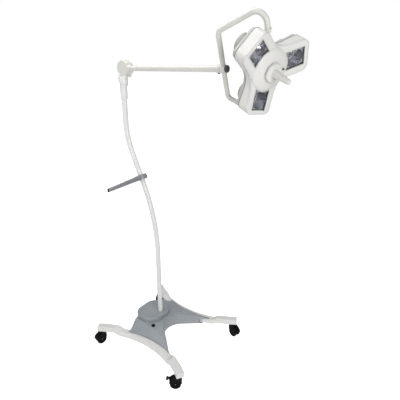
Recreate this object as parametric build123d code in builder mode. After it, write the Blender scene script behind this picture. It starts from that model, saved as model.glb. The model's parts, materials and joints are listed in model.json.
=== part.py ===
from build123d import *

import math
import os

# Mobile three-lobe examination light on a castor stand. Millimetres, +Z up, +X along the arm.

os.makedirs("parts", exist_ok=True)

# ---------------------------------------------------------------- driving dimensions
FIT = 0.05                 # radial clearance of every running fit
GAP = 0.5                  # end gap between pieces that turn on each other

# base
TIP_X = 345.0              # half length of a leg bar
BAR_Y = 192.0              # bar centre line from the middle plane, at x = 0
BAR_R = 619.0              # plan radius of the bar centre line
BAR_W = 48.0
BAR_T = 34.0
BAR_TOP = 100.0            # top of the low middle of a bar
TIP_TOP = 118.0            # top of its raised ends
PLATE_T = 6.0
SKIRT_LOW = 70.0
ROOF_Z = 149.0
TOWER_TOP = 178.0
TOWER = (-118.0, -16.0)    # tower centre
TOWER_X, TOWER_Y, TOWER_R = 180.0, 206.0, 74.0
WALL = 3.0
BUTTON_AT = (-24.0, -118.0)
TRAFO_AT = (-125.0, -60.0)
INLET_Z = 120.0

# castors
WHEEL_R = 32.0
WHEEL_W = 14.0
WEB = 14.0                 # body between the twin wheels
TRAIL = 20.0
STEM_R = 5.0
CASTOR_X = 322.0
CASTORS = {                # corner name: (x side, y side, trail direction in degrees, has a brake)
    "front": (1, -1, -143.0, True),
    "right": (1, 1, -16.0, False),
    "left": (-1, -1, -101.5, False),
    "rear": (-1, 1, -72.5, True),
}

# column
COL_R = 15.0
COL_WALL = 2.5
COL_X = -69.0              # foot
HUB_X = -285.0             # top, and the arm's swivel axis
COL_TOP = 1569.0
SLEEVE_R = 20.0
HUB_Z = 1700.0

# push handle
HANDLE_Z = 1080.0
HANDLE_DEG = -82.0
HANDLE_L = 292.0

# hub and arm
DRUM_R = 43.0
DRUM_FRONT, DRUM_BACK = -4.0, 32.0
REAR_DRUM_R = 42.0
REAR_DRUM_BACK = 46.0
HUB_PIN_R = 8.0
ARM_Y = 14.0
ARM_R = 15.0
END_X = 378.0              # the arm's end point, where the yoke's roll axis is measured from

# yoke
ROLL = 18.4                # rest roll of the yoke about the arm, degrees
SKEW = 17.4                # lean of the tilt axis in the yoke's plane, degrees
TILT = 21.5                # rest tilt of the head about that axis, degrees
YOKE_R = 12.0
YOKE_X = 8.0               # back tube from the end point
AXIS_X = 202.4             # where the tilt axis crosses the arm's line, from the end point
FACE_X = 236.0             # centre of the head's face, from the end point
SPINDLE_R = 8.0
PIVOT_R = 6.0

# head, in its own frame: z out of the face, x along the right lobe
LOBE_TURN = 75.85          # from the right lobe round to the tilt axis, degrees
LOBE_END = 197.0
LOBE_IN, LOBE_OUT = 82.0, 76.0   # half widths at the centre and the end
LOBE_CORNER = 30.0
NOTCH_R = 95.0
DISH = 0.2                 # slope of each lobe's face, so that the three beams meet
SEAM_Z = -20.0             # joint between the front cover and the rear housing
BACK_Z = -47.0             # back of the rear housing
SKIN = 3.0
WINDOW_R = 132.0           # window centre from the head's centre
DOME_R = 96.0
DOME_EDGE, DOME_TOP = 20.5, 28.0
CAP_R = 45.0
CAP_END = -111.0           # end of a lamp cap, measured back from the lobe's face
CAP_IN = -12.0             # cap's axis from the lamp's, towards the head's centre
STEP_IN = 6.0              # rear housing's outline inside the front cover's
LOBES = {"right": 0.0, "upper": 120.0, "lower": 240.0}


def save(builder, label):
    """Label a finished piece and write it as one STEP file."""
    builder.part.label = label
    export_step(builder.part, f"parts/{label}.step")


def unit(degrees):
    return Vector(math.cos(math.radians(degrees)), math.sin(math.radians(degrees)), 0)


# ---------------------------------------------------------------- base: the two leg bars
def bar_y(x):
    """Centre line of a bar, distance from the middle plane."""
    return BAR_Y + BAR_R - math.sqrt(BAR_R ** 2 - x ** 2)


def bar_outline(side):
    """Plan of a bar: an arc band that bows towards the middle of the base."""
    centre_y = side * (BAR_Y + BAR_R)
    swing = math.asin(TIP_X / BAR_R)
    ends = []
    for radius in (BAR_R - BAR_W / 2, BAR_R + BAR_W / 2):
        tip_x = radius * math.sin(swing)
        tip_y = centre_y - side * radius * math.cos(swing)
        ends.append(((-tip_x, tip_y), (0, centre_y - side * radius), (tip_x, tip_y)))
    with BuildSketch() as outline:
        with BuildLine():
            ThreePointArc(*ends[0])
            ThreePointArc(*ends[1])
            Line(ends[0][0], ends[1][0])
            Line(ends[0][2], ends[1][2])
        make_face()
    return outline.sketch


def bar_profile():
    """Side view of a bar: low in the middle, raised at both ends."""
    half = [(0, BAR_TOP), (198, BAR_TOP), (232, TIP_TOP), (360, TIP_TOP),
            (360, TIP_TOP - BAR_T), (237, TIP_TOP - BAR_T), (203, BAR_TOP - BAR_T), (0, BAR_TOP - BAR_T)]
    mirrored = [(-x, z) for x, z in reversed(half)]
    Polygon(*(half + mirrored[1:-1]), align=None)


for bar_name, side in (("leg_bar_near", -1), ("leg_bar_far", 1)):
    with BuildPart() as leg_bar:
        with BuildSketch(Plane.XY):
            add(bar_outline(side))
        extrude(amount=TIP_TOP + 20)
        with BuildSketch(Plane.XZ):
            bar_profile()
        extrude(amount=500, both=True, mode=Mode.INTERSECT)
        fillet(leg_bar.edges().filter_by(GeomType.LINE, reverse=True), radius=6)
        with BuildSketch(Plane.XY.offset(TIP_TOP - BAR_T)):
            with Locations(*[(sx * CASTOR_X, side * bar_y(CASTOR_X)) for sx in (-1, 1)]):
                Circle(STEM_R)
        extrude(amount=20, mode=Mode.SUBTRACT)
    save(leg_bar, bar_name)


# ---------------------------------------------------------------- base: cover, frame, contents
def cover_outline():
    """Hourglass plan with four horns that reach out over the bars."""
    with BuildSketch() as outline:
        with BuildLine():
            ThreePointArc((-150, -214), (15, -184), (185, -206))
            Line((185, -206), (40, -88))
            ThreePointArc((40, -88), (-2, 0), (40, 88))
            Line((40, 88), (185, 206))
            ThreePointArc((185, 206), (15, 184), (-150, 214))
            Line((-150, 214), (-178, 95))
            Line((-178, 95), (-178, -95))
            Line((-178, -95), (-150, -214))
        make_face()
    return outline.sketch


def cover_volume(inset, foot, foot_step):
    """The cover's outer shape, or the same shape inset by its wall to hollow it."""
    with BuildPart() as volume:
        with BuildSketch(Plane.XY.offset(foot)):
            add(cover_outline())
            if inset:
                offset(amount=-inset)
        extrude(amount=ROOF_Z + 20 - foot)
        with BuildSketch(Plane.YZ):
            half = [(0, ROOF_Z - inset), (135, ROOF_Z - inset), (190, 110 - inset), (230, 106 - inset),
                    (230, foot_step), (163 + 2 * inset, foot_step), (163 + 2 * inset, foot), (0, foot)]
            Polygon(*(half + [(-y, z) for y, z in reversed(half)][1:-1]), align=None)
        extrude(amount=400, both=True, mode=Mode.INTERSECT)
        with BuildSketch(Plane.XZ):
            Polygon((-300, ROOF_Z - inset), (15, ROOF_Z - inset), (190, 112 - inset), (260, 100),
                    (260, foot), (-300, foot), align=None)
        extrude(amount=400, both=True, mode=Mode.INTERSECT)
        with BuildSketch(Plane.XY.offset(foot)):
            with Locations(TOWER):
                RectangleRounded(TOWER_X - 2 * inset, TOWER_Y - 2 * inset, TOWER_R - inset)
        extrude(amount=TOWER_TOP - inset - foot)
        fillet(volume.faces().sort_by(Axis.Z)[-1].edges(), radius=max(7 - inset, 2))
    return volume.part


POSTS = [(-125, -150), (-125, 150), (28, -146), (28, 146)]
cover_shape = cover_volume(0, SKIRT_LOW, BAR_TOP + 1)
cover_hollow = cover_volume(WALL, SKIRT_LOW - 10, BAR_TOP - 5)
tower_left = TOWER[0] - TOWER_X / 2

with BuildPart() as base_cover:
    add(cover_shape)
    add(cover_hollow, mode=Mode.SUBTRACT)
    with BuildSketch(Plane.XY.offset(SKIRT_LOW)):
        with Locations(*POSTS):
            Circle(6)
    extrude(amount=ROOF_Z - 14 - SKIRT_LOW)
    with BuildSketch(Plane.XY.offset(SKIRT_LOW)):
        with Locations(*POSTS):
            Circle(2)
    extrude(amount=20, mode=Mode.SUBTRACT)
    with BuildSketch(Plane.XY.offset(ROOF_Z - 30)):
        with Locations((COL_X, 0)):
            Circle(COL_R + 1.5)
        with Locations(BUTTON_AT):
            Circle(11.5)
    extrude(amount=80, mode=Mode.SUBTRACT)
    with BuildSketch(Plane.YZ.offset(tower_left - 1)):
        with Locations((TOWER[1], INLET_Z)):
            Rectangle(41, 25)
    extrude(amount=WALL + 2, mode=Mode.SUBTRACT)
save(base_cover, "base_cover")

with BuildPart() as base_frame:
    with BuildSketch(Plane.XY.offset(BAR_TOP - BAR_T - PLATE_T)):
        add(cover_outline())
        offset(amount=-9)
    extrude(amount=PLATE_T)
    with BuildSketch(Plane.XY.offset(BAR_TOP - BAR_T)):
        with Locations((COL_X, 0)):
            Circle(COL_R + 9)
    extrude(amount=100)
    with BuildSketch(Plane.XY.offset(BAR_TOP - BAR_T + 1)):
        with Locations((COL_X, 0)):
            Circle(COL_R)
    extrude(amount=100, mode=Mode.SUBTRACT)
    with BuildSketch(Plane.XY.offset(BAR_TOP - BAR_T - PLATE_T)):
        with Locations(*POSTS):
            Circle(2.3)
    extrude(amount=PLATE_T, mode=Mode.SUBTRACT)
save(base_frame, "base_frame")

with BuildPart() as cover_screws:
    with BuildSketch(Plane.XY.offset(BAR_TOP - BAR_T - PLATE_T - 3)):
        with Locations(*POSTS):
            Circle(4.5)
    extrude(amount=3)
    with BuildSketch(Plane.XY.offset(BAR_TOP - BAR_T - PLATE_T)):
        with Locations(*POSTS):
            Circle(2)
    extrude(amount=24)
save(cover_screws, "cover_screws")

with BuildPart() as ballast_weight:
    with BuildSketch(Plane.XY.offset(BAR_TOP - BAR_T + 0.2)):
        Polygon((-158, 148), (-20, 148), (-20, -84), (-56, -84), (-56, -112), (-158, -112),
                (-158, -90), (-194, -70), (-194, 40), (-158, 62), align=None)
        with Locations((COL_X, 0)):
            Circle(COL_R + 10, mode=Mode.SUBTRACT)
        with Locations(*POSTS):
            Circle(8, mode=Mode.SUBTRACT)
    extrude(amount=BAR_T - 0.7)
save(ballast_weight, "ballast_weight")

with BuildPart() as transformer:
    with BuildSketch(Plane.XY.offset(BAR_TOP)):
        with Locations(TRAFO_AT):
            Circle(43)
            Circle(15, mode=Mode.SUBTRACT)
    extrude(amount=42)
    fillet(transformer.edges().filter_by(GeomType.CIRCLE), radius=9)
    with BuildSketch(Plane.XY.offset(BAR_TOP)):
        with Locations(TRAFO_AT):
            Circle(15.5)
            Circle(3.2, mode=Mode.SUBTRACT)
    extrude(amount=40)
save(transformer, "transformer")

with BuildPart() as inlet_socket:
    with BuildSketch(Plane.YZ.offset(tower_left - 3)):
        with Locations((TOWER[1], INLET_Z)):
            RectangleRounded(48, 31, 4)
    extrude(amount=3)
    with BuildSketch(Plane.YZ.offset(tower_left)):
        with Locations((TOWER[1], INLET_Z)):
            Rectangle(40, 24)
    extrude(amount=28)
    with BuildSketch(Plane.YZ.offset(tower_left - 3)):
        with Locations((TOWER[1], INLET_Z)):
            RectangleRounded(27, 19, 5)
    extrude(amount=24, mode=Mode.SUBTRACT)
    with BuildSketch(Plane.YZ.offset(tower_left + 6)):
        with Locations(*[(TOWER[1] + dy, INLET_Z + dz) for dy, dz in ((-7, -2), (0, 3), (7, -2))]):
            Rectangle(2, 4.5)
    extrude(amount=16)
save(inlet_socket, "inlet_socket")

with BuildPart() as foot_switch:
    with BuildSketch(Plane.XY.offset(BAR_TOP - BAR_T)):
        with Locations(BUTTON_AT):
            RectangleRounded(46, 40, 4)
    extrude(amount=50)
    with BuildSketch(Plane.XY.offset(BAR_TOP - BAR_T + 50)):
        with Locations(BUTTON_AT):
            Circle(10.5)
    extrude(amount=26)
    with BuildSketch(Plane.XY.offset(BAR_TOP - BAR_T + 30)):
        with Locations(BUTTON_AT):
            Circle(6 + FIT)
    extrude(amount=60, mode=Mode.SUBTRACT)
save(foot_switch, "foot_switch")

with BuildPart() as foot_switch_button:
    with BuildSketch(Plane.XY.offset(BAR_TOP - BAR_T + 36)):
        with Locations(BUTTON_AT):
            Circle(6)
    extrude(amount=48)
    with BuildSketch(Plane.XY.offset(ROOF_Z + 1)):
        with Locations(BUTTON_AT):
            Circle(10.8)
    extrude(amount=8)
    fillet(foot_switch_button.edges().sort_by(Axis.Z)[-1], radius=3)
save(foot_switch_button, "foot_switch_button")


# ---------------------------------------------------------------- castors
LEG_UNDER = TIP_TOP - BAR_T

with BuildPart() as castor_stems:
    for sx, sy, trail_deg, braked in CASTORS.values():
        stem_at = (sx * CASTOR_X, sy * bar_y(CASTOR_X))
        with BuildSketch(Plane.XY.offset(50)):
            with Locations(stem_at):
                Circle(STEM_R)
        extrude(amount=LEG_UNDER + 19 - 50)
        with BuildSketch(Plane.XY.offset(LEG_UNDER - 6)):
            with Locations(stem_at):
                Circle(11)
        extrude(amount=6)
save(castor_stems, "castor_stems")


def castor_frame(corner):
    """Planes of one castor: level at its swivel axis, and upright through its wheel."""
    sx, sy, trail_deg, braked = CASTORS[corner]
    trail_way = unit(trail_deg)
    swivel = Vector(sx * CASTOR_X, sy * bar_y(CASTOR_X), 0)
    level = Plane(origin=swivel, x_dir=trail_way, z_dir=(0, 0, 1))
    across = Vector(-trail_way.Y, trail_way.X, 0)
    upright = Plane(origin=swivel, x_dir=trail_way, z_dir=across * -1)
    return level, upright


HOOD_R = WHEEL_R + 5
PEDAL_X = TRAIL + 41 * math.cos(math.radians(38))
PEDAL_Z = WHEEL_R + 41 * math.sin(math.radians(38))

for corner, (sx, sy, trail_deg, braked) in CASTORS.items():
    level, upright = castor_frame(corner)
    half = WEB / 2 + 1 + WHEEL_W

    with BuildPart() as castor_hood:
        with BuildSketch(upright):
            with Locations((TRAIL, WHEEL_R)):
                Circle(HOOD_R)
            with Locations((TRAIL / 2 - 4, WHEEL_R + 22)):
                Rectangle(TRAIL + 18, 36)
            with Locations((TRAIL, WHEEL_R - 40 + 5)):
                Rectangle(120, 80, mode=Mode.SUBTRACT)
        extrude(amount=half, both=True)
        fillet(castor_hood.edges().filter_by(GeomType.CIRCLE), radius=3)
        if braked:
            with BuildSketch(upright):
                with Locations((PEDAL_X, PEDAL_Z)):
                    Circle(5)
                with Locations((PEDAL_X - 4, PEDAL_Z - 3)):
                    Rectangle(9, 9)
                with Locations((PEDAL_X, PEDAL_Z)):
                    Circle(2 + FIT, mode=Mode.SUBTRACT)
            extrude(amount=11, both=True)
        with BuildSketch(upright):
            with Locations((TRAIL, WHEEL_R)):
                Circle(WHEEL_R + 1.5)
        extrude(amount=half + 1, both=True, mode=Mode.SUBTRACT)
        with BuildSketch(upright):
            with Locations((TRAIL, WHEEL_R)):
                Circle(WHEEL_R - 6)
            with Locations((TRAIL / 2, WHEEL_R + 22)):
                Rectangle(TRAIL + 12, 30)
        extrude(amount=WEB / 2, both=True)
        if braked:
            with BuildSketch(upright):
                with Locations((PEDAL_X + 2, PEDAL_Z + 1)):
                    Rectangle(15, 13)
            extrude(amount=7, both=True, mode=Mode.SUBTRACT)
        with BuildSketch(level.offset(44)):
            Circle(STEM_R + FIT)
        extrude(amount=60, mode=Mode.SUBTRACT)
        with BuildSketch(upright):
            with Locations((TRAIL, WHEEL_R)):
                Circle(3)
        extrude(amount=half + 5, both=True, mode=Mode.SUBTRACT)
    save(castor_hood, f"castor_hood_{corner}")

    with BuildPart() as castor_axle:
        with BuildSketch(upright):
            with Locations((TRAIL, WHEEL_R)):
                Circle(3)
        extrude(amount=half - 2, both=True)
    save(castor_axle, f"castor_axle_{corner}")

    with BuildPart() as castor_wheels:
        for way in (-1, 1):
            with BuildSketch(upright.offset(way * (WEB / 2 + 1 + WHEEL_W / 2))):
                with Locations((TRAIL, WHEEL_R)):
                    Circle(WHEEL_R)
                    Circle(3 + FIT, mode=Mode.SUBTRACT)
            extrude(amount=WHEEL_W / 2, both=True)
        rims = castor_wheels.edges().filter_by(GeomType.CIRCLE).filter_by(lambda e: e.radius > WHEEL_R - 1)
        fillet(rims, radius=4)
        for way in (-1, 1):
            with BuildSketch(upright.offset(way * half)):
                with Locations((TRAIL, WHEEL_R)):
                    Circle(WHEEL_R - 7)
                    Circle(7, mode=Mode.SUBTRACT)
            extrude(amount=-way * 3, mode=Mode.SUBTRACT)
    save(castor_wheels, f"castor_wheels_{corner}")

    if braked:
        with BuildPart() as brake_pedal:
            with BuildSketch(upright):
                with Locations((PEDAL_X, PEDAL_Z)):
                    Circle(4)
            extrude(amount=7 - GAP, both=True)
            with BuildSketch(upright):
                with Locations((PEDAL_X, PEDAL_Z)):
                    Circle(2)
            extrude(amount=10.5, both=True)
            with BuildSketch(upright):
                Polygon((PEDAL_X, PEDAL_Z + 4), (PEDAL_X + 8, PEDAL_Z + 6.5), (PEDAL_X + 21, PEDAL_Z + 3),
                        (PEDAL_X + 21, PEDAL_Z - 1), (PEDAL_X + 7, PEDAL_Z + 1), (PEDAL_X, PEDAL_Z),
                        align=None)
            extrude(amount=7 - GAP, both=True)
            with BuildSketch(upright):
                Polygon((PEDAL_X + 8, PEDAL_Z + 6.5), (PEDAL_X + 21, PEDAL_Z + 3),
                        (PEDAL_X + 21, PEDAL_Z - 1), (PEDAL_X + 8, PEDAL_Z + 1), align=None)
            extrude(amount=13, both=True)
        save(brake_pedal, f"brake_pedal_{corner}")


# ---------------------------------------------------------------- column and push handle
BEND_LOW = Vector(COL_X, 0, 832.5)     # where the column's straight runs would meet
BEND_HIGH = Vector(HUB_X, 0, 1310.6)

with BuildPart() as column_tube:
    with BuildLine() as column_path:
        FilletPolyline((COL_X, 0, BAR_TOP - BAR_T + 1.2), tuple(BEND_LOW), tuple(BEND_HIGH),
                       (HUB_X, 0, COL_TOP), radius=[1080, 443])
    with BuildSketch(Plane.XY.offset(BAR_TOP - BAR_T + 1.2)):
        with Locations((COL_X, 0)):
            Circle(COL_R)
            Circle(COL_R - COL_WALL, mode=Mode.SUBTRACT)
    sweep(path=column_path.wire())
save(column_tube, "column_tube")

column_way = (BEND_HIGH - BEND_LOW).normalized()
clamp_at = BEND_LOW + column_way * ((HANDLE_Z - BEND_LOW.Z) / column_way.Z)
handle_way = unit(HANDLE_DEG)
clamp_plane = Plane(origin=clamp_at, x_dir=(0, -1, 0), z_dir=column_way)
bar_plane = Plane(origin=clamp_at, x_dir=(0, 0, 1), z_dir=handle_way)
screw_plane = Plane(origin=clamp_at, x_dir=(0, -1, 0), z_dir=clamp_plane.y_dir)

with BuildPart() as handle_clamp:
    with BuildSketch(clamp_plane.offset(-15)):
        Circle(COL_R + 7)
        with Locations((-28, 0)):
            Rectangle(20, 20)
    extrude(amount=30)
    with BuildSketch(bar_plane):
        RectangleRounded(28, 24, 5)
    extrude(amount=46)
    with BuildSketch(clamp_plane.offset(-40)):
        Circle(COL_R)
        with Locations((-30, 0)):
            Rectangle(40, 3)
    extrude(amount=80, mode=Mode.SUBTRACT)
    with BuildSketch(bar_plane.offset(30)):
        RectangleRounded(21, 13, 3)
    extrude(amount=20, mode=Mode.SUBTRACT)
    with BuildSketch(screw_plane.offset(-20)):
        with Locations((-31, 0)):
            Circle(3)
    extrude(amount=60, mode=Mode.SUBTRACT)
save(handle_clamp, "handle_clamp")

with BuildPart() as clamp_screw:
    with BuildSketch(screw_plane.offset(-9)):
        with Locations((-31, 0)):
            Circle(3)
    extrude(amount=20)
    with BuildSketch(screw_plane.offset(10)):
        with Locations((-31, 0)):
            Circle(5.5)
            RegularPolygon(2.6, 6, mode=Mode.SUBTRACT)
    extrude(amount=5)
save(clamp_screw, "clamp_screw")

PLUGS = ((5.2, 0), (-5.2, 0))

with BuildPart() as push_handle:
    with BuildSketch(bar_plane.offset(46)):
        RectangleRounded(28, 16, 5)
    with BuildSketch(bar_plane.offset(HANDLE_L)):
        RectangleRounded(20, 12, 4)
    loft()
    with BuildSketch(bar_plane.offset(31)):
        RectangleRounded(20.6, 12.6, 3)
    extrude(amount=17)
    with BuildSketch(bar_plane.offset(HANDLE_L - 12)):
        with Locations(*PLUGS):
            Circle(3.6)
    extrude(amount=12, mode=Mode.SUBTRACT)
save(push_handle, "push_handle")

with BuildPart() as handle_plugs:
    with BuildSketch(bar_plane.offset(HANDLE_L - 11)):
        with Locations(*PLUGS):
            Circle(3.6)
    extrude(amount=11)
    with BuildSketch(bar_plane.offset(HANDLE_L)):
        with Locations(*PLUGS):
            Circle(4.8)
    extrude(amount=4)
save(handle_plugs, "handle_plugs")


# ---------------------------------------------------------------- swivel at the column's top
SLEEVE_LOW, SLEEVE_TOP = 1530.0, 1640.0

with BuildPart() as swivel_bearing:
    with BuildSketch(Plane.XY.offset(SLEEVE_LOW)):
        with Locations((HUB_X, 0)):
            Circle(SLEEVE_R)
    extrude(amount=SLEEVE_TOP - SLEEVE_LOW)
    chamfer(swivel_bearing.edges().group_by(Axis.Z)[0], length=3)
    with BuildSketch(Plane.XY.offset(SLEEVE_LOW)):
        with Locations((HUB_X, 0)):
            Circle(COL_R)
    extrude(amount=COL_TOP - SLEEVE_LOW + 0.5, mode=Mode.SUBTRACT)
    with BuildSketch(Plane.XY.offset(COL_TOP)):
        with Locations((HUB_X, 0)):
            Circle(12 + FIT)
    extrude(amount=SLEEVE_TOP - COL_TOP, mode=Mode.SUBTRACT)
save(swivel_bearing, "swivel_bearing")

hub_plane = Plane(origin=(HUB_X, 0, HUB_Z), x_dir=(1, 0, 0), z_dir=(0, -1, 0))   # z towards -Y

with BuildPart() as swivel_head:
    with BuildSketch(Plane.XY.offset(1596)):
        with Locations((HUB_X, 0)):
            Circle(27)
    extrude(amount=80)
    with BuildSketch(Plane(origin=(HUB_X, 0, 1615), z_dir=(0.27, 0.20, 0.93))):
        Rectangle(120, 120)
    extrude(amount=-60, mode=Mode.SUBTRACT)
    with BuildSketch(Plane.XY.offset(1650)):
        with Locations((HUB_X, 20)):
            Rectangle(44, 52)
    extrude(amount=40)
    with BuildSketch(hub_plane.offset(-REAR_DRUM_BACK)):
        Circle(REAR_DRUM_R)
    extrude(amount=REAR_DRUM_BACK - DRUM_BACK)
    with BuildSketch(hub_plane.offset(-DRUM_BACK - GAP)):
        Circle(DRUM_R + 1)
    extrude(amount=100, mode=Mode.SUBTRACT)
    with BuildSketch(Plane.XY.offset(1570)):
        with Locations((HUB_X, 0)):
            Circle(SLEEVE_R + 2)
    extrude(amount=SLEEVE_TOP + 2 - 1570, mode=Mode.SUBTRACT)
    with BuildSketch(Plane.XY.offset(COL_TOP + 6)):
        with Locations((HUB_X, 0)):
            Circle(12)
    extrude(amount=SLEEVE_TOP + 6 - COL_TOP)
    with BuildSketch(hub_plane.offset(-REAR_DRUM_BACK - 1)):
        Circle(HUB_PIN_R)
    extrude(amount=20, mode=Mode.SUBTRACT)
save(swivel_head, "swivel_head")

with BuildPart() as hub_pin:
    with BuildSketch(hub_plane.offset(-REAR_DRUM_BACK)):
        Circle(HUB_PIN_R)
    extrude(amount=REAR_DRUM_BACK - 3)
save(hub_pin, "hub_pin")

with BuildPart() as arm_root:
    with BuildSketch(hub_plane.offset(-DRUM_BACK)):
        Circle(DRUM_R)
    extrude(amount=DRUM_BACK - DRUM_FRONT)
    chamfer(arm_root.edges().sort_by(Axis.Y)[0], length=3.5)
    with BuildSketch(Plane.YZ.offset(HUB_X + 20)):
        with Locations((ARM_Y, HUB_Z)):
            Circle(18)
    extrude(amount=44)
    with BuildSketch(Plane.YZ.offset(HUB_X + 44)):
        with Locations((ARM_Y, HUB_Z)):
            Circle(ARM_R)
    extrude(amount=30, mode=Mode.SUBTRACT)
    with BuildSketch(hub_plane.offset(-DRUM_BACK)):
        Circle(30)
    extrude(amount=DRUM_BACK - 12, mode=Mode.SUBTRACT)
    with BuildSketch(hub_plane.offset(-DRUM_BACK)):
        Circle(HUB_PIN_R + FIT)
    extrude(amount=DRUM_BACK - 2, mode=Mode.SUBTRACT)
save(arm_root, "arm_root")

SPRING_R, WIRE_R, SPRING_PITCH = 21.0, 1.6, 4.2

with BuildPart() as hub_spring:
    with BuildLine() as coil:
        Helix(pitch=SPRING_PITCH, height=4 * SPRING_PITCH, radius=SPRING_R,
              center=(HUB_X, 14, HUB_Z), direction=(0, 1, 0))
    with BuildSketch(Plane(origin=coil.line @ 0, z_dir=coil.line % 0)):
        Circle(WIRE_R)
    sweep(path=coil.line, is_frenet=True)
save(hub_spring, "hub_spring")

COLLAR_L, COLLAR_R = 28.0, 19.0
arm_end = Plane(origin=(END_X, ARM_Y, HUB_Z), x_dir=(0, 1, 0), z_dir=(1, 0, 0))

with BuildPart() as arm_tube:
    with BuildSketch(arm_end.offset(-COLLAR_L)):
        Circle(ARM_R)
        Circle(ARM_R - 2, mode=Mode.SUBTRACT)
    extrude(amount=-(END_X - COLLAR_L - HUB_X - 44.5))
save(arm_tube, "arm_tube")

with BuildPart() as arm_collar:
    with BuildSketch(arm_end.offset(-COLLAR_L)):
        Circle(COLLAR_R)
    extrude(amount=COLLAR_L - 8)
    fillet(arm_collar.edges().filter_by(GeomType.CIRCLE), radius=2)
    with BuildSketch(arm_end.offset(-COLLAR_L - 50)):
        Circle(ARM_R - 2)
    extrude(amount=50)
    with BuildSketch(arm_end.offset(-COLLAR_L - 60)):
        Circle(SPINDLE_R + FIT)
    extrude(amount=100, mode=Mode.SUBTRACT)
    with BuildSketch(Plane.XY.offset(HUB_Z - COLLAR_R - 5)):
        with Locations((END_X - 18, ARM_Y)):
            Circle(4.5)
    extrude(amount=COLLAR_R, mode=Mode.SUBTRACT)
save(arm_collar, "arm_collar")

with BuildPart() as arm_screw:
    with BuildSketch(Plane.XY.offset(HUB_Z - COLLAR_R - 5)):
        with Locations((END_X - 18, ARM_Y)):
            Circle(4.5)
            RegularPolygon(2.4, 6, mode=Mode.SUBTRACT)
    extrude(amount=5)
    with BuildSketch(Plane.XY.offset(HUB_Z - COLLAR_R)):
        with Locations((END_X - 18, ARM_Y)):
            Circle(4.5)
    extrude(amount=COLLAR_R - SPINDLE_R - 1)
save(arm_screw, "arm_screw")


# ---------------------------------------------------------------- yoke
roll = math.radians(ROLL)
skew = math.radians(SKEW)
tilt = math.radians(TILT)
end_point = Vector(END_X, ARM_Y, HUB_Z)
yoke_up = Vector(0, -math.sin(roll), math.cos(roll))
yoke_side = Vector(0, -math.cos(roll), -math.sin(roll))
tilt_way = Vector(1, 0, 0) * math.sin(skew) + yoke_up * math.cos(skew)
face_rest = Vector(1, 0, 0) * math.cos(skew) - yoke_up * math.sin(skew)
face_way = face_rest * math.cos(tilt) + yoke_side * math.sin(tilt)
tilt_centre = end_point + Vector(AXIS_X, 0, 0)
yoke_plane = Plane(origin=end_point, x_dir=(1, 0, 0), z_dir=yoke_side)   # its y is yoke_up

UPPER_BOSS, LOWER_BOSS = 157.0, -199.0     # ends of the housing's pivot bosses along the tilt axis
KNUCKLE_R, KNUCKLE_L = 14.0, 21.0


def yoke_point(x, up):
    return end_point + Vector(x, 0, 0) + yoke_up * up


def axis_plane(distance):
    """Plane square to the tilt axis, a distance along it."""
    return Plane(origin=tilt_centre + tilt_way * distance, x_dir=yoke_side, z_dir=tilt_way)


upper_end = UPPER_BOSS + GAP
lower_end = LOWER_BOSS - GAP
knuckle_at = UPPER_BOSS + 11
knuckle_x = AXIS_X + knuckle_at * math.sin(skew)
tube_points = [
    yoke_point(knuckle_x, knuckle_at * math.cos(skew)),
    yoke_point(knuckle_x, 256),
    yoke_point(YOKE_X, 166),
    yoke_point(YOKE_X, -137),
    tilt_centre + tilt_way * (lower_end - KNUCKLE_L / 2),
]

with BuildPart() as yoke_tube:
    with BuildLine() as yoke_path:
        FilletPolyline(*[tuple(p) for p in tube_points], radius=[50, 28, 28])
    with BuildSketch(Plane(origin=tube_points[0], z_dir=yoke_up)):
        Circle(YOKE_R)
        Circle(YOKE_R - 2.5, mode=Mode.SUBTRACT)
    sweep(path=yoke_path.wire())
    with BuildSketch(axis_plane(upper_end)):
        Circle(KNUCKLE_R)
    extrude(amount=KNUCKLE_L)
    with BuildSketch(axis_plane(lower_end)):
        Circle(KNUCKLE_R)
    extrude(amount=-KNUCKLE_L)
    with BuildSketch(axis_plane(lower_end)):
        Circle(KNUCKLE_R)
    extrude(amount=12, mode=Mode.SUBTRACT)
    for distance, length in ((upper_end, 15), (lower_end, -15)):
        with BuildSketch(axis_plane(distance)):
            Circle(PIVOT_R)
        extrude(amount=length, mode=Mode.SUBTRACT)
save(yoke_tube, "yoke_tube")

with BuildPart() as pivot_pins:
    for distance, length in ((UPPER_BOSS - 36, 36 + GAP + 15), (LOWER_BOSS + 28, -28 - GAP - 15)):
        with BuildSketch(axis_plane(distance)):
            Circle(PIVOT_R)
        extrude(amount=length)
save(pivot_pins, "pivot_pins")

block_low, block_high = YOKE_X - 15, YOKE_X + 13

with BuildPart() as yoke_block:
    with BuildSketch(arm_end.offset(block_low)):
        Circle(18)
    extrude(amount=block_high - block_low)
    fillet(yoke_block.edges().filter_by(GeomType.CIRCLE), radius=2.5)
    with BuildSketch(Plane(origin=yoke_point(YOKE_X, -30), x_dir=(1, 0, 0), z_dir=yoke_up)):
        Circle(YOKE_R)
    extrude(amount=60, mode=Mode.SUBTRACT)
    with BuildSketch(arm_end.offset(block_low)):
        Circle(SPINDLE_R)
    extrude(amount=3, mode=Mode.SUBTRACT)
    with BuildSketch(arm_end.offset(YOKE_X)):
        Circle(4)
    extrude(amount=30, mode=Mode.SUBTRACT)
save(yoke_block, "yoke_block")

with BuildPart() as yoke_spindle:
    with BuildSketch(arm_end.offset(block_low + 2.9)):
        Circle(SPINDLE_R)
    extrude(amount=-(block_low + 2.9 + COLLAR_L + 48))
save(yoke_spindle, "yoke_spindle")

with BuildPart() as yoke_knob:
    with BuildSketch(arm_end.offset(block_high)):
        Circle(17)
    extrude(amount=12)
    fillet(yoke_knob.edges().filter_by(GeomType.CIRCLE).sort_by(Axis.X)[-1], radius=4)
    with BuildSketch(arm_end.offset(block_high)):
        Circle(4)
    extrude(amount=-(block_high - YOKE_X - YOKE_R - 0.5))
save(yoke_knob, "yoke_knob")


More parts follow.
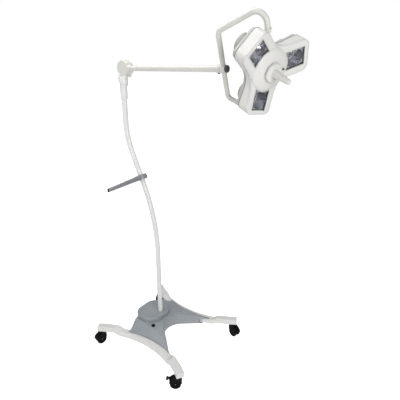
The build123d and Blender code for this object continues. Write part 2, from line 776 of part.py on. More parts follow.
# ---------------------------------------------------------------- head
face_centre = end_point + Vector(FACE_X, 0, 0)
side_way = face_way.cross(tilt_way)                  # a quarter turn on from the tilt axis, in the face
turn = math.radians(LOBE_TURN)
right_way = tilt_way * math.cos(turn) - side_way * math.sin(turn)
head = Plane(origin=face_centre, x_dir=right_way, z_dir=face_way)
lean = math.atan(DISH)


def lobe_plane(name, depth=0.0):
    """Plane on one lobe's tilted face at its window's centre: x outwards, z along the beam."""
    out = unit(LOBES[name])
    origin = head.from_local_coords(out * WINDOW_R + Vector(0, 0, DISH * WINDOW_R))
    outward = head.from_local_coords(out) - face_centre
    beam = face_way * math.cos(lean) - outward * math.sin(lean)
    x_way = outward * math.cos(lean) + face_way * math.sin(lean)
    return Plane(origin=origin, x_dir=x_way, z_dir=beam).offset(depth)


def head_profile(plane, inset=0.0):
    """Three straight lobes with rounded corners, joined by wide concave curves."""
    with BuildSketch() as flat:
        for degrees in LOBES.values():
            with Locations(Location((0, 0), degrees)):
                Polygon((0, -LOBE_IN), (LOBE_END, -LOBE_OUT), (LOBE_END, LOBE_OUT), (0, LOBE_IN), align=None)
        fillet(flat.vertices().sort_by_distance((0, 0, 0))[:3], radius=NOTCH_R)
        fillet(flat.vertices().sort_by_distance((0, 0, 0))[-6:], radius=LOBE_CORNER)
        if inset:
            offset(amount=-inset)
    return plane * flat.sketch


def cover_solid(inset, low):
    """Front cover's shape: each lobe's face slopes up outwards, with a round dome in the middle."""
    drop = inset / math.cos(lean)
    with BuildPart() as solid:
        for degrees in LOBES.values():
            out = unit(degrees)
            outward = (head.from_local_coords(out) - face_centre).normalized()
            with BuildSketch(Plane(origin=face_centre, x_dir=outward, z_dir=outward.cross(face_way))):
                Polygon((-95, low), (230, low), (230, 230 * DISH - drop), (-95, -95 * DISH - drop), align=None)
            extrude(amount=200, both=True)
        with BuildSketch(Plane(origin=face_centre, x_dir=right_way, z_dir=right_way.cross(face_way))):
            rim = DOME_R - inset
            with BuildLine():
                Polyline((0, low), (rim, low), (rim, DOME_EDGE - 8 - inset), (rim - 11, DOME_EDGE - inset))
                ThreePointArc((rim - 11, DOME_EDGE - inset), (67, DOME_EDGE + 5 - inset),
                              (44, DOME_TOP - inset))
                Polyline((44, DOME_TOP - inset), (0, DOME_TOP - inset), (0, low))
            make_face()
        revolve(axis=Axis(face_centre, face_way), revolution_arc=360)
        add(extrude(head_profile(head.offset(low), inset), amount=100, mode=Mode.PRIVATE), mode=Mode.INTERSECT)
    return solid.part


WINDOW_IN, WINDOW_OUT, WINDOW_HALF = -47.0, 46.0, 43.0     # a window, from the point over the lamp
SCREW_AT = [(154, 60), (154, -60)]
BUTTON_XY = (62, -16)
POSTS_HEAD = [Vector(x, y, 0).rotate(Axis.Z, degrees) for degrees in LOBES.values() for x, y in SCREW_AT]
POSTS_XY = [(p.X, p.Y) for p in POSTS_HEAD]


def window_plate(name, depth, thick, grow=0.0):
    """A plate of one lobe's window, its inner side cut back round the dome."""
    with BuildPart() as plate:
        with BuildSketch(lobe_plane(name, depth)):
            with BuildLine():
                ThreePointArc((WINDOW_IN - grow, -WINDOW_HALF - grow), (WINDOW_IN + 11 - grow, 0),
                              (WINDOW_IN - grow, WINDOW_HALF + grow))
                Polyline((WINDOW_IN - grow, WINDOW_HALF + grow), (WINDOW_OUT + grow, WINDOW_HALF - 1 + grow),
                         (WINDOW_OUT + grow, 1 - WINDOW_HALF - grow), (WINDOW_IN - grow, -WINDOW_HALF - grow))
            make_face()
        extrude(amount=thick)
    return plate.part


with BuildPart() as front_cover:
    add(cover_solid(0, SEAM_Z))
    add(cover_solid(SKIN, SEAM_Z - 5), mode=Mode.SUBTRACT)
    with BuildSketch(head.offset(SEAM_Z)):
        with Locations(*POSTS_XY):
            Circle(5)
    extrude(amount=48)
    with BuildSketch(head.offset(12)):
        with Locations(BUTTON_XY):
            Circle(6)
    extrude(amount=14)
    for name in LOBES:
        add(window_plate(name, -8, 16), mode=Mode.SUBTRACT)
    with BuildSketch(head.offset(SEAM_Z)):
        with Locations(*POSTS_XY):
            Circle(1.5)
    extrude(amount=26, mode=Mode.SUBTRACT)
    with BuildSketch(head.offset(10)):
        with Locations(BUTTON_XY):
            Circle(3 + FIT)
        Circle(12)
    extrude(amount=30, mode=Mode.SUBTRACT)
save(front_cover, "front_cover")

BOSS_R = 9.5

with BuildPart() as rear_housing:
    add(extrude(head_profile(head.offset(BACK_Z), STEP_IN), amount=SEAM_Z - BACK_Z, mode=Mode.PRIVATE))
    back_edges = rear_housing.faces().sort_by(Axis(face_centre, face_way))[0].edges()
    fillet(back_edges, radius=9)
    add(extrude(head_profile(head.offset(BACK_Z + SKIN), STEP_IN + SKIN), amount=40, mode=Mode.PRIVATE),
        mode=Mode.SUBTRACT)
    with BuildSketch(head.offset(BACK_Z + 1)):
        with Locations(*POSTS_XY):
            Circle(5)
    extrude(amount=SEAM_Z - BACK_Z - 1)
    for start, end in ((86, UPPER_BOSS), (-150, LOWER_BOSS)):
        with BuildSketch(axis_plane(start)):
            Circle(BOSS_R)
        extrude(amount=end - start)
    for end, depth in ((UPPER_BOSS, -38), (LOWER_BOSS, 30)):
        with BuildSketch(axis_plane(end)):
            Circle(PIVOT_R + FIT)
        extrude(amount=depth, mode=Mode.SUBTRACT)
    for name in LOBES:
        with BuildSketch(lobe_plane(name, -95)):
            with Locations((CAP_IN, 0)):
                Circle(CAP_R)
        extrude(amount=46, mode=Mode.SUBTRACT)
    with BuildSketch(head.offset(BACK_Z)):
        with Locations(*POSTS_XY):
            Circle(1.5)
    extrude(amount=40, mode=Mode.SUBTRACT)
save(rear_housing, "rear_housing")

with BuildPart() as housing_screws:
    with BuildSketch(head.offset(BACK_Z)):
        with Locations(*POSTS_XY):
            Circle(1.5)
    extrude(amount=50)
    with BuildSketch(head.offset(BACK_Z - 2.5)):
        with Locations(*POSTS_XY):
            Circle(3.5)
            RegularPolygon(1.6, 6, mode=Mode.SUBTRACT)
    extrude(amount=2.5)
save(housing_screws, "housing_screws")

BOWL_MOUTH, BOWL_APEX = -8.5, -72.0
MOUTH_R, APEX_R = 42.0, 13.0


def bowl_radius(z):
    """Reflector's inside radius, a parabola between its apex hole and its mouth."""
    share = (z - BOWL_APEX) / (BOWL_MOUTH - BOWL_APEX)
    return math.sqrt(APEX_R ** 2 + share * (MOUTH_R ** 2 - APEX_R ** 2))


BOWL = [(bowl_radius(BOWL_APEX + k * (BOWL_MOUTH - BOWL_APEX) / 8), BOWL_APEX + k * (BOWL_MOUTH - BOWL_APEX) / 8)
        for k in range(9)]

for name in LOBES:
    beam = lobe_plane(name)
    across = Plane(origin=beam.origin, x_dir=beam.x_dir, z_dir=beam.x_dir.cross(beam.z_dir))
    beam_axis = Axis(beam.origin, beam.z_dir)

    with BuildPart() as lens:
        add(window_plate(name, -6, 3, grow=2))
    save(lens, f"lens_{name}")

    with BuildPart() as reflector:
        with BuildSketch(across):
            with BuildLine():
                Spline(*BOWL)
                Spline(*[(r + 1.5, z) for r, z in BOWL])
                Line(BOWL[0], (BOWL[0][0] + 1.5, BOWL[0][1]))
                Line(BOWL[-1], (BOWL[-1][0] + 1.5, BOWL[-1][1]))
            make_face()
        revolve(axis=beam_axis, revolution_arc=360)
        add(window_plate(name, BOWL_MOUTH - 1.5, 1.5))
        with BuildSketch(lobe_plane(name, BOWL_MOUTH)):
            Circle(bowl_radius(BOWL_MOUTH - 1.5))
        extrude(amount=-2, mode=Mode.SUBTRACT)
    save(reflector, f"reflector_{name}")

    with BuildPart() as lamp_cap:
        with BuildSketch(lobe_plane(name, CAP_END)):
            with Locations((CAP_IN, 0)):
                Circle(CAP_R)
        extrude(amount=80)
        fillet(lamp_cap.faces().sort_by(beam_axis)[0].edges(), radius=9)
        with BuildSketch(lobe_plane(name, CAP_END + SKIN)):
            with Locations((CAP_IN, 0)):
                Circle(CAP_R - 2.5)
        extrude(amount=90, mode=Mode.SUBTRACT)
        split(bisect_by=head.offset(BACK_Z + SKIN), keep=Keep.BOTTOM)
        with BuildSketch(lobe_plane(name, CAP_END + SKIN)):
            with Locations((CAP_IN, 0)):
                Circle(CAP_R - 1)
                Circle(CAP_R - 8, mode=Mode.SUBTRACT)
        extrude(amount=6)
    save(lamp_cap, f"lamp_cap_{name}")

with BuildPart() as lamp_holders:
    for name in LOBES:
        with BuildSketch(lobe_plane(name, CAP_END + SKIN)):
            Circle(12.5)
        extrude(amount=40)
        with BuildSketch(lobe_plane(name, -80)):
            Circle(20)
        extrude(amount=4)
        with BuildSketch(lobe_plane(name, -86)):
            Circle(5)
        extrude(amount=30, mode=Mode.SUBTRACT)
save(lamp_holders, "lamp_holders")

with BuildPart() as lamps:
    for name in LOBES:
        with BuildSketch(lobe_plane(name, -86)):
            Circle(5)
        extrude(amount=19)
        with BuildSketch(lobe_plane(name, -67)):
            Circle(6.5)
        extrude(amount=25, taper=5)
save(lamps, "lamps")

COLLAR_LOW, COLLAR_TOP = 34.0, 45.0

with BuildPart() as handle_collar:
    with BuildSketch(head.offset(DOME_TOP)):
        Circle(30)
    extrude(amount=COLLAR_LOW - DOME_TOP)
    with BuildSketch(head.offset(COLLAR_LOW)):
        Circle(42)
    extrude(amount=COLLAR_TOP - COLLAR_LOW)
    fillet(handle_collar.faces().sort_by(Axis(face_centre, face_way))[-1].edges(), radius=4)
    with BuildSketch(head.offset(DOME_TOP - 11)):
        Circle(12)
    extrude(amount=12)
    with BuildSketch(head.offset(COLLAR_TOP - 1)):
        Circle(8)
    extrude(amount=46)
save(handle_collar, "handle_collar")

with BuildPart() as lamp_handle:
    with BuildSketch(head.offset(COLLAR_TOP + GAP)):
        Circle(17)
    with BuildSketch(head.offset(138)):
        Circle(12)
    loft()
    fillet(lamp_handle.faces().sort_by(Axis(face_centre, face_way))[-1].edges(), radius=4)
    with BuildSketch(head.offset(COLLAR_TOP)):
        Circle(8 + FIT)
    extrude(amount=48, mode=Mode.SUBTRACT)
save(lamp_handle, "lamp_handle")

with BuildPart() as head_button:
    with BuildSketch(head.offset(14)):
        with Locations(BUTTON_XY):
            Circle(3)
    extrude(amount=17)
    with BuildSketch(head.offset(29.8)):
        with Locations(BUTTON_XY):
            Circle(4.5)
    extrude(amount=2.7)
save(head_button, "head_button")
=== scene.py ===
"""Mobile three-lobe examination light: finishes, small pieces, studio and camera round the CAD frame."""

import json
import math

import bmesh
import bpy
from mathutils import Matrix, Vector


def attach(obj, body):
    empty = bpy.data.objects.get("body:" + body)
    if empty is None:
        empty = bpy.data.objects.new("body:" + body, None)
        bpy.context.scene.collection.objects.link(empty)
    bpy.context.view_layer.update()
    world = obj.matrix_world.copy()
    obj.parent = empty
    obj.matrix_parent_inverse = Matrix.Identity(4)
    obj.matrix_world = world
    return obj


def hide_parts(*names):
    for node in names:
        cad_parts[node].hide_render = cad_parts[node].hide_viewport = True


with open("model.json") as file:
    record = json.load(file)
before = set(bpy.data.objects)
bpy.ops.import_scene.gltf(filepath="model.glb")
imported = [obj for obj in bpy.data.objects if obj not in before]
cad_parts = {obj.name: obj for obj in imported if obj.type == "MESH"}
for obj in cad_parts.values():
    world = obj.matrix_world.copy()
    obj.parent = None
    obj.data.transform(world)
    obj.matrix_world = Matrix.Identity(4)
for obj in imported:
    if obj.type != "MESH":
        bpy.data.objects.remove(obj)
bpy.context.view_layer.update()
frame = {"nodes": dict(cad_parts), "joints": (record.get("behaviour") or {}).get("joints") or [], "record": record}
nodes = frame["nodes"]
joints = {joint["name"]: joint for joint in frame["joints"]}
scene = bpy.context.scene
MM = 0.001

# ---------------------------------------------------------------- node helpers
MIX_FACTOR, MIX_FIRST, MIX_SECOND, MIX_RESULT = 0, 6, 7, 2     # the colour sockets of a Mix node
RELIEF_DEPTH = 0.4 * MM


def tinted(colour, factor, lift=0.0):
    return tuple(min(1.0, channel * factor + lift) for channel in colour)


def new_material(name):
    """Node material with its tree, its shader and the object coordinates."""
    material = bpy.data.materials.new(name)
    material.use_nodes = True
    tree = material.node_tree
    coords = tree.nodes.new("ShaderNodeTexCoord").outputs["Object"]
    return material, tree, tree.nodes["Principled BSDF"], coords


def noise(tree, coords, scale, detail=4.0, rough=0.55, stretch=None):
    """Noise texture on object coordinates, stretched along an axis if wanted."""
    if stretch:
        mapping = tree.nodes.new("ShaderNodeMapping")
        mapping.inputs["Scale"].default_value = stretch
        tree.links.new(coords, mapping.inputs["Vector"])
        coords = mapping.outputs["Vector"]
    node = tree.nodes.new("ShaderNodeTexNoise")
    node.inputs["Scale"].default_value = scale
    node.inputs["Detail"].default_value = detail
    node.inputs["Roughness"].default_value = rough
    tree.links.new(coords, node.inputs["Vector"])
    return node.outputs["Fac"]


def span(tree, value, source, target):
    """The value with one range mapped onto another."""
    node = tree.nodes.new("ShaderNodeMapRange")
    node.inputs["From Min"].default_value, node.inputs["From Max"].default_value = source
    node.inputs["To Min"].default_value, node.inputs["To Max"].default_value = target
    tree.links.new(value, node.inputs["Value"])
    return node.outputs["Result"]


def product(tree, first, second):
    node = tree.nodes.new("ShaderNodeMath")
    node.operation = "MULTIPLY"
    tree.links.new(first, node.inputs[0])
    tree.links.new(second, node.inputs[1])
    return node.outputs[0]


def blend_colours(tree, factor, first, second):
    """Mix of two colours, each a tuple or a socket."""
    node = tree.nodes.new("ShaderNodeMix")
    node.data_type = "RGBA"
    for place, colour in ((MIX_FIRST, first), (MIX_SECOND, second)):
        if isinstance(colour, tuple):
            node.inputs[place].default_value = (*colour, 1.0)
        else:
            tree.links.new(colour, node.inputs[place])
    tree.links.new(factor, node.inputs[MIX_FACTOR])
    return node.outputs[MIX_RESULT]


def relief(tree, height, strength, normal=None):
    """Fine bump, on top of another normal if there is one."""
    node = tree.nodes.new("ShaderNodeBump")
    node.inputs["Strength"].default_value = strength
    node.inputs["Distance"].default_value = RELIEF_DEPTH
    tree.links.new(height, node.inputs["Height"])
    if normal:
        tree.links.new(normal, node.inputs["Normal"])
    return node.outputs["Normal"]


def rounded_edges(tree, radius):
    """Shading normal that rounds the edges, with the radius in millimetres."""
    node = tree.nodes.new("ShaderNodeBevel")
    node.samples = 4
    node.inputs["Radius"].default_value = radius * MM
    return node.outputs["Normal"]


# ---------------------------------------------------------------- materials
BROAD, MIDDLE = 7.0, 55.0                        # noise scales of the tone drift and of the wear and gloss
RIDGES, HOLLOWS = (0.52, 0.60), (0.40, 0.49)     # pointiness where wear grows and where the painted shade in hollows fades out


def surface(name, base, rough=0.4, grain=900.0, bump=0.12, vary=0.04, wear=0.35, worn=None, metal=0.0,
            specular=0.5, edge=1.2, stretch=None, coat=0.0, hollow_shade=0.0):
    """Painted, moulded or turned surface: tone drift, grain, worn ridges, painted shade darkening the hollows,
    uneven gloss.
    """
    material, tree, shader, coords = new_material(name)
    pointiness = tree.nodes.new("ShaderNodeNewGeometry").outputs["Pointiness"]
    broad = noise(tree, coords, BROAD)
    middle = noise(tree, coords, MIDDLE, 5.0)
    fine = noise(tree, coords, grain, 3.0, 0.6, stretch)

    drift = span(tree, broad, (0.35, 0.65), (0, 1))
    colour = blend_colours(tree, drift, tinted(base, 1 - vary), tinted(base, 1 + vary))
    speck = span(tree, fine, (0.3, 0.7), (0.0, 0.35))
    colour = blend_colours(tree, speck, colour, tinted(base, 1 - 0.6 * vary))
    ridge = span(tree, pointiness, RIDGES, (0.0, wear))
    patch = product(tree, ridge, span(tree, middle, (0.4, 0.6), (0.0, 1.0)))
    colour = blend_colours(tree, patch, colour, worn or tinted(base, 1.25, 0.03))
    # painted shade: hollows (low pointiness) darkened towards 0.55 of the base colour, standing in for shade in
    # creases and recesses
    if hollow_shade:
        hollow_shade_mask = span(tree, pointiness, HOLLOWS, (hollow_shade, 0.0))
        colour = blend_colours(tree, hollow_shade_mask, colour, tinted(base, 0.55))

    tree.links.new(colour, shader.inputs["Base Color"])
    gloss = span(tree, middle, (0.3, 0.7), (max(rough - 0.06, 0.03), rough + 0.08))
    tree.links.new(gloss, shader.inputs["Roughness"])
    shader.inputs["Metallic"].default_value = metal
    shader.inputs["Specular IOR Level"].default_value = specular
    shader.inputs["Coat Weight"].default_value = coat
    shader.inputs["Coat Roughness"].default_value = 0.15
    tree.links.new(relief(tree, fine, bump, rounded_edges(tree, edge)), shader.inputs["Normal"])
    return material


def glass(name, tint, rough):
    """Clear glass with faint smears."""
    material, tree, shader, coords = new_material(name)
    smear = noise(tree, coords, 30.0, 5.0)
    tree.links.new(blend_colours(tree, smear, tint, tinted(tint, 0.94)), shader.inputs["Base Color"])
    tree.links.new(span(tree, smear, (0.35, 0.75), (rough, rough + 0.05)), shader.inputs["Roughness"])
    shader.inputs["Transmission Weight"].default_value = 1.0
    shader.inputs["IOR"].default_value = 1.45
    tree.links.new(relief(tree, noise(tree, coords, 90.0), 0.03), shader.inputs["Normal"])
    return material


# The hollow shade value in a finish below is painted shade: how far its hollows are darkened.
PAINTS = {
    "white_paint": dict(base=(0.86, 0.86, 0.84), rough=0.33, grain=700, bump=0.08, vary=0.02, wear=0.1,
                        worn=(0.7, 0.7, 0.68), edge=4.0, coat=0.15, hollow_shade=0.12),
    "arm_paint": dict(base=(0.74, 0.73, 0.69), rough=0.34, grain=700, bump=0.08, vary=0.03, wear=0.15,
                      worn=(0.6, 0.59, 0.55), edge=2.5, coat=0.15, hollow_shade=0.2),
    "grey_paint": dict(base=(0.27, 0.28, 0.31), rough=0.36, grain=800, bump=0.12, vary=0.05, wear=0.5,
                       worn=(0.5, 0.5, 0.52), hollow_shade=0.4),
}
PLASTICS = {
    "grey_shell": dict(base=(0.36, 0.39, 0.42), rough=0.44, grain=1400, bump=0.22, vary=0.04, wear=0.12,
                       worn=(0.5, 0.53, 0.56), edge=5.0, hollow_shade=0.08),
    "black_plastic": dict(base=(0.005, 0.005, 0.006), rough=0.45, grain=1200, bump=0.25, vary=0.15, wear=0.4,
                          worn=(0.03, 0.03, 0.033), specular=0.12, edge=1.5),
    "black_rubber": dict(base=(0.005, 0.005, 0.006), rough=0.6, grain=1000, bump=0.35, vary=0.2, wear=0.3,
                         worn=(0.06, 0.06, 0.06), specular=0.12, edge=1.5, hollow_shade=0.3),
    "head_shell": dict(base=(0.78, 0.775, 0.75), rough=0.38, grain=1300, bump=0.12, vary=0.02, wear=0.1,
                       worn=(0.86, 0.86, 0.84), edge=9.0, coat=0.1, hollow_shade=0.1),
    # painted shade: the housing behind the face is the face's white toned down to grey, a shaded copy of the same
    # white
    "rear_shell": dict(base=(0.56, 0.56, 0.54), rough=0.40, grain=1300, bump=0.14, vary=0.03, wear=0.1,
                       worn=(0.78, 0.78, 0.76), edge=5.0, hollow_shade=0.1),
    "cap_grey": dict(base=(0.47, 0.47, 0.44), rough=0.42, grain=1300, bump=0.18, vary=0.05, wear=0.4,
                     worn=(0.66, 0.66, 0.63), edge=2.0, hollow_shade=0.3),
    "handle_plastic": dict(base=(0.76, 0.755, 0.71), rough=0.38, grain=1300, bump=0.12, vary=0.03, wear=0.3,
                           worn=(0.85, 0.85, 0.82), edge=2.0, hollow_shade=0.3),
    "knob_grey": dict(base=(0.07, 0.08, 0.08), rough=0.45, grain=900, bump=0.2, vary=0.1, wear=0.5,
                      worn=(0.25, 0.26, 0.26), edge=1.5),
}
METALS = {
    "reflector_metal": dict(base=(0.62, 0.62, 0.66), rough=0.05, grain=500, bump=0.05, vary=0.06, wear=0.0,
                            metal=1.0, edge=0.3),
    "steel": dict(base=(0.56, 0.56, 0.57), rough=0.28, grain=300, bump=0.12, vary=0.06, wear=0.2,
                  metal=1.0, stretch=(1, 1, 12)),
    "zinc_screws": dict(base=(0.6, 0.6, 0.6), rough=0.32, grain=900, bump=0.15, vary=0.08, wear=0.3,
                        metal=1.0, edge=0.5),
    "cast_weight": dict(base=(0.1, 0.1, 0.1), rough=0.7, grain=300, bump=0.6, vary=0.2, wear=0.3, metal=0.6),
}
INNER_PARTS = {
    "ceramic": dict(base=(0.78, 0.75, 0.67), rough=0.5, grain=900, bump=0.2, vary=0.05, wear=0.2),
    "winding": dict(base=(0.32, 0.18, 0.05), rough=0.4, grain=250, bump=0.5, vary=0.15, wear=0.2,
                    stretch=(1, 1, 8)),
}
TRIM = {
    "seam_dark": dict(base=(0.07, 0.045, 0.035), rough=0.6, grain=900, bump=0.2, vary=0.2, wear=0.0,
                      edge=0.2),
    # painted reflection: near-white finish for the ring that stands in for the bright ring reflected in the chrome
    # reflectors
    "painted_reflection_white": dict(base=(0.85, 0.83, 0.8), rough=0.3, grain=400, bump=0.05, vary=0.05, wear=0.0,
                        edge=0.1),
    "wire_metal": dict(base=(0.45, 0.43, 0.42), rough=0.3, grain=400, bump=0.05, vary=0.05, wear=0.0,
                       metal=1.0, edge=0.1),
}

materials = {}
for finishes in (PAINTS, PLASTICS, METALS, INNER_PARTS, TRIM):
    for finish_name, finish in finishes.items():
        materials[finish_name] = surface(finish_name, **finish)
materials["clear_glass"] = glass("clear_glass", (0.93, 0.96, 0.98), 0.0)
materials["lamp_glass"] = glass("lamp_glass", (0.98, 0.97, 0.94), 0.04)

for entry in frame["record"]["subparts"]:
    node_mesh = nodes[entry["node"]].data
    node_mesh.materials.clear()
    node_mesh.materials.append(materials[entry["material_slot"]])


# ---------------------------------------------------------------- helpers for pieces
def add_object(name, data, material, body):
    obj = bpy.data.objects.new(name, data)
    scene.collection.objects.link(obj)
    data.materials.append(material)
    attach(obj, body)
    return obj


def piece(name, bm, material, body, smooth=True):
    mesh = bpy.data.meshes.new(name)
    bm.to_mesh(mesh)
    bm.free()
    mesh.polygons.foreach_set("use_smooth", [smooth] * len(mesh.polygons))
    return add_object(name, mesh, material, body)


def wire(name, points, radius, material, body, closed=False):
    curve = bpy.data.curves.new(name, "CURVE")
    curve.dimensions = "3D"
    curve.bevel_depth = radius * MM
    curve.bevel_resolution = 3
    spline = curve.splines.new("POLY")
    spline.points.add(len(points) - 1)
    for point, place in zip(spline.points, points):
        point.co = (*place, 1.0)
    spline.use_cyclic_u = closed
    return add_object(name, curve, material, body)


def thicken(obj, thickness, offset):
    skin = obj.modifiers.new("thickness", "SOLIDIFY")
    skin.thickness = thickness * MM
    skin.offset = offset


def round_pairs(items):
    """Each item of a closed loop with the one after it."""
    return zip(items, items[1:] + items[:1])


def rounded_loop(corners, radii, steps=10):
    """Closed polygon with each corner turned into an arc."""
    loop = []
    count = len(corners)
    for k in range(count):
        here, before, after = Vector(corners[k]), Vector(corners[k - 1]), Vector(corners[(k + 1) % count])
        one, two = (before - here).normalized(), (after - here).normalized()
        half = one.angle(two) / 2
        reach = radii[k] / math.tan(half)
        centre = here + (one + two).normalized() * (radii[k] / math.sin(half))
        start, end = here + one * reach - centre, here + two * reach - centre
        sweep = start.angle_signed(end)
        for step in range(steps + 1):
            turned = start.copy()
            turned.rotate(Matrix.Rotation(-sweep * step / steps, 2))
            loop.append(centre + turned)
    return loop


# ---------------------------------------------------------------- the head's own frame, in millimetres
FACE_AHEAD = 33.6          # the face's centre, past the tilt axis along X
FACE_TURN = 75.85          # degrees from the tilt axis to the right lobe
LAMP_OUT = 132             # a lamp's distance from the head's axis
DISH = 0.2                 # slope of each lobe's face
LEAN = math.atan(DISH)
LOBES = {"right": 0.0, "upper": 120.0, "lower": 240.0}

tilt_axis = Vector(joints["head_tilt"]["axis"]).normalized()
face_axis = Vector(joints["lamp_handle_pull"]["axis"]).normalized()
side_axis = face_axis.cross(tilt_axis)
turn = math.radians(FACE_TURN)
right_axis = tilt_axis * math.cos(turn) - side_axis * math.sin(turn)
up_axis = face_axis.cross(right_axis)
face_centre = Vector(joints["head_tilt"]["pos_m"]) + Vector((FACE_AHEAD * MM, 0, 0))


def on_head(x, y, z):
    return face_centre + (right_axis * x + up_axis * y + face_axis * z) * MM


def lobe_axes(degrees):
    """Origin over the lamp and the outward, sideways and beam directions of one lobe."""
    angle = math.radians(degrees)
    outward = right_axis * math.cos(angle) + up_axis * math.sin(angle)
    beam = face_axis * math.cos(LEAN) - outward * math.sin(LEAN)
    along = outward * math.cos(LEAN) + face_axis * math.sin(LEAN)
    origin = face_centre + (outward * LAMP_OUT + face_axis * DISH * LAMP_OUT) * MM
    return origin, along, beam.cross(along), beam


def on_lobe(degrees, x, y, z):
    origin, along, across, beam = lobe_axes(degrees)
    return origin + (along * x + across * y + beam * z) * MM


def lobe_circle(degrees, radius, z, count, x=0.0, turned=0.0):
    """Points on a circle round a lobe's beam, begun part of a step further on if wanted."""
    angles = [(k + turned) * math.tau / count for k in range(count)]
    return [on_lobe(degrees, x + radius * math.cos(a), radius * math.sin(a), z) for a in angles]


# ---------------------------------------------------------------- faceted reflectors
APEX_Z, MOUTH_Z, APEX_R, MOUTH_R = -72.0, -8.6, 13.0, 42.0
FACETS, ROWS = 14, 5
ROW_SPREAD = 1.6           # above 1, the rows of facets crowd towards the apex
FLANGE = [(-47, -42.5), (45.5, -42), (45.5, 42), (-47, 42.5)]
FLANGE_CORNER = 3


def bowl_radius(z):
    share = (z - APEX_Z) / (MOUTH_Z - APEX_Z)
    return math.sqrt(APEX_R ** 2 + share * (MOUTH_R ** 2 - APEX_R ** 2))


def bowl_rings(bm, degrees):
    """Rings of vertices from the apex to the mouth, every second one turned by half a facet."""
    rings = []
    for row in range(ROWS + 1):
        z = APEX_Z + (MOUTH_Z - APEX_Z) * (row / ROWS) ** ROW_SPREAD
        places = lobe_circle(degrees, bowl_radius(z), z, FACETS, turned=0.5 * (row % 2))
        rings.append([bm.verts.new(place) for place in places])
    return rings


def add_facets(bm, rings):
    for row, (low, high) in enumerate(zip(rings, rings[1:])):
        for (low_one, low_two), (high_one, high_two) in zip(round_pairs(low), round_pairs(high)):
            if row % 2:
                bm.faces.new((low_one, low_two, high_two))
                bm.faces.new((low_one, high_two, high_one))
            else:
                bm.faces.new((low_one, low_two, high_one))
                bm.faces.new((low_two, high_two, high_one))


def add_flange(bm, mouth, degrees):
    """Flat plate between the bowl's mouth and the edge of the window."""
    origin, along, across, _ = lobe_axes(degrees)

    def bearing(vert):
        offset = vert.co - origin
        return math.atan2(offset.dot(across), offset.dot(along))

    loop = rounded_loop(FLANGE, [FLANGE_CORNER] * len(FLANGE), 4)
    outline = sorted([bm.verts.new(on_lobe(degrees, x, y, MOUTH_Z)) for x, y in loop], key=bearing)
    edges = [bm.edges.new(pair) for pair in round_pairs(outline)]
    edges += [bm.edges.get(pair) for pair in round_pairs(mouth)]
    bmesh.ops.triangle_fill(bm, use_beauty=True, edges=edges)


def faceted_reflector(lobe, degrees):
    bm = bmesh.new()
    rings = bowl_rings(bm, degrees)
    add_facets(bm, rings)
    add_flange(bm, rings[-1], degrees)
    bowl = piece(f"faceted_reflector_{lobe}", bm, materials["reflector_metal"], "head", smooth=False)
    thicken(bowl, 1.0, 0.0)
    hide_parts(f"reflector_{lobe}")


# ---------------------------------------------------------------- filaments, painted reflection rings, window rims, cap vents
COIL_POINTS, COIL_R, COIL_STEP, COIL_PITCH, COIL_Z, COIL_WIRE = 90, 1.6, 0.9, 0.16, -62, 0.25
RING_R, RING_Z, RING_WIRE = 24, -52, 2.0
RIM_INNER, RIM_BOW, RIM_HALF = -36, 11, 43       # the rim's bowed end, towards the head's axis
RIM_OUTER, RIM_CORNER, RIM_Z, RIM_WIRE = 46, 42, 0.2, 1.1
VENT_R, VENT_X, VENT_Z, VENT_WIRE = 2.6, 5, -111.2, 0.5


def filament(lobe, degrees):
    turns = [(k, k * COIL_STEP) for k in range(COIL_POINTS)]
    coil = [on_lobe(degrees, COIL_R * math.cos(a), COIL_R * math.sin(a), COIL_Z + COIL_PITCH * k)
            for k, a in turns]
    wire(f"filament_{lobe}", coil, COIL_WIRE, materials["wire_metal"], "head")


# painted reflection: a bright white wire ring inside each reflector, standing in for the bright ring the chrome
# reflects
def painted_reflection_ring(lobe, degrees):
    ring = lobe_circle(degrees, RING_R, RING_Z, 48)
    wire(f"painted_reflection_ring_{lobe}", ring, RING_WIRE, materials["painted_reflection_white"], "head", closed=True)


def window_rim(lobe, degrees):
    outline = [(RIM_INNER - RIM_BOW * (y / RIM_HALF) ** 2, y) for y in range(-RIM_HALF, RIM_HALF + 1, 3)]
    outline += [(RIM_OUTER, RIM_CORNER), (RIM_OUTER, -RIM_CORNER)]
    points = [on_lobe(degrees, x, y, RIM_Z) for x, y in outline]
    wire(f"window_rim_{lobe}", points, RIM_WIRE, materials["head_shell"], "head", closed=True)


def cap_vent(lobe, degrees):
    hole = lobe_circle(degrees, VENT_R, VENT_Z, 24, x=VENT_X)
    wire(f"cap_vent_{lobe}", hole, VENT_WIRE, materials["seam_dark"], "head", closed=True)


for lobe_name, lobe_degrees in LOBES.items():
    for make in (faceted_reflector, filament, painted_reflection_ring, window_rim, cap_vent):
        make(lobe_name, lobe_degrees)


# ---------------------------------------------------------------- gasket between the cover and the housing
LOBE_END, END_HALF, ROOT_HALF = 197, 76, 82      # a lobe's length, half width at its end and at the axis
CORNER_R, NOTCH_R = 30, 95
GASKET_LOW, GASKET_TOP, GASKET_GROW = -20.9, -19.3, 0.25


def head_outline(grow):
    """The head's outline, with each side moved out by the same amount."""
    taper = (ROOT_HALF - END_HALF) / LOBE_END
    sixty = math.radians(60)
    notch_reach = (ROOT_HALF + grow) / (math.sin(sixty) + taper * math.cos(sixty))
    corners, radii = [], []
    for degrees in LOBES.values():
        sine, cosine = math.sin(math.radians(degrees)), math.cos(math.radians(degrees))
        for side in (-1, 1):
            x, y = LOBE_END + grow, side * (END_HALF + grow)
            corners.append((x * cosine - y * sine, x * sine + y * cosine))
        notch = math.radians(degrees + 60)
        corners.append((notch_reach * math.cos(notch), notch_reach * math.sin(notch)))
        radii += [CORNER_R, CORNER_R, NOTCH_R]
    return rounded_loop(corners, radii, 14)


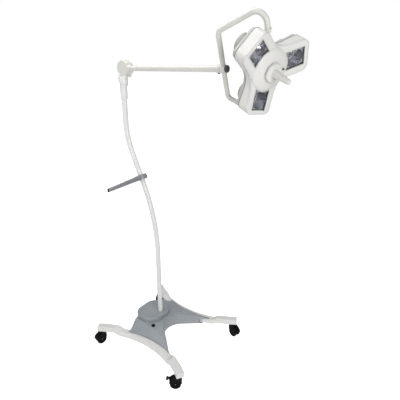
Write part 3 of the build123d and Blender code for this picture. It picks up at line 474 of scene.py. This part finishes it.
def housing_gasket():
    bm = bmesh.new()
    outline = head_outline(GASKET_GROW)
    lower = [bm.verts.new(on_head(p.x, p.y, GASKET_LOW)) for p in outline]
    upper = [bm.verts.new(on_head(p.x, p.y, GASKET_TOP)) for p in outline]
    for (low_one, low_two), (high_one, high_two) in zip(round_pairs(lower), round_pairs(upper)):
        bm.faces.new((low_one, low_two, high_two, high_one))
    thicken(piece("housing_gasket", bm, materials["seam_dark"], "head"), 0.5, -1.0)


housing_gasket()


# ---------------------------------------------------------------- studio
def camera_or_light(tree, lighting, shown):
    """One strength for the light that reaches the object, and another for what the camera sees."""
    sight = tree.nodes.new("ShaderNodeLightPath").outputs["Is Camera Ray"]
    return span(tree, sight, (0, 1), (lighting, shown))


def white_floor():
    bm = bmesh.new()
    bmesh.ops.create_grid(bm, x_segments=2, y_segments=2, size=60.0)
    mesh = bpy.data.meshes.new("floor")
    bm.to_mesh(mesh)
    bm.free()
    floor = bpy.data.objects.new("floor", mesh)
    scene.collection.objects.link(floor)
    floor.location.z = -0.5 * MM
    paint = surface("floor_white", (0.9, 0.9, 0.9), rough=0.6, grain=80, bump=0.02, vary=0.005, wear=0.0)
    tree = paint.node_tree
    shader = tree.nodes["Principled BSDF"]
    shader.inputs["Emission Color"].default_value = (1.0, 1.0, 1.0, 1.0)
    tree.links.new(camera_or_light(tree, 0.22, 1.0), shader.inputs["Emission Strength"])
    mesh.materials.append(paint)


def white_world():
    world = bpy.data.worlds.new("studio")
    scene.world = world
    world.use_nodes = True
    sky = world.node_tree.nodes["Background"]
    sky.inputs["Color"].default_value = (1.0, 1.0, 1.0, 1.0)
    world.node_tree.links.new(camera_or_light(world.node_tree, 0.2, 1.0), sky.inputs["Strength"])


def area_light(name, place, target, size, power):
    light = bpy.data.lights.new(name, "AREA")
    light.energy = power
    light.size = size
    obj = bpy.data.objects.new(name, light)
    scene.collection.objects.link(obj)
    obj.location = place
    obj.rotation_euler = (Vector(target) - Vector(place)).to_track_quat("-Z", "Y").to_euler()


def add_camera(place, forward, right):
    data = bpy.data.cameras.new("camera")
    data.sensor_width = 36.0
    data.lens = 34.29
    data.clip_end = 300.0
    camera = bpy.data.objects.new("camera", data)
    scene.collection.objects.link(camera)
    forward, right = Vector(forward).normalized(), Vector(right).normalized()
    upward = right.cross(forward).normalized()
    facing = Matrix((right, upward, -forward)).transposed().to_4x4()
    camera.matrix_world = Matrix.Translation(place) @ facing
    bpy.context.scene.camera = camera


white_floor()
white_world()
area_light("key", (2.6, -1.3, 1.9), (0.45, 0.0, 1.4), 1.2, 36)
area_light("overhead", (-0.5, -0.1, 3.1), (0.0, 0.0, 0.2), 1.5, 31)
area_light("fill", (-0.6, -2.6, 2.2), (0.0, 0.0, 0.8), 1.8, 19)
add_camera((1.418, -1.563, 1.720), (-0.561, 0.7565, -0.3354), (0.803, 0.5955, 0.0))
scene.view_settings.view_transform = "Standard"
